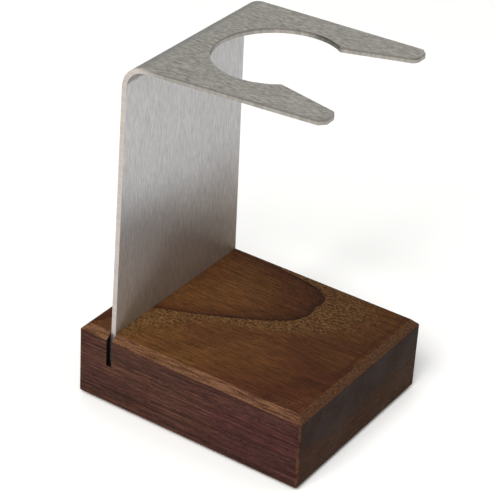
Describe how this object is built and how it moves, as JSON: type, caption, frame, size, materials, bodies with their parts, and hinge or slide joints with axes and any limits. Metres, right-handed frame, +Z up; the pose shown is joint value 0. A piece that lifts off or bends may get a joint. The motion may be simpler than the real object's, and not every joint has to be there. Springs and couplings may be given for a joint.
{
  "type": "razor stand",
  "caption": "Free-standing holder for a shaving brush or razor: bent metal sheet with an open fork, set in a wooden block.",
  "frame": {"origin": "middle of the footprint, on the surface the stand rests on", "axes": "+Z up; -Y towards the open mouth of the fork; X across the stand"},
  "size_m": [0.0676, 0.08, 0.1178],
  "materials": {
    "hardwood": "oiled dark hardwood, satin",
    "brushed_sheet": "satin, brushed along the sheet",
    "cured_adhesive": "cured amber adhesive, dull",
    "pad_rubber": "matt black"
  },
  "bodies": {
    "root": {"base_block": "hardwood", "holder_plate": "brushed_sheet", "kerf_adhesive": "cured_adhesive", "foot_pads": "pad_rubber"}
  },
  "joints": []
}
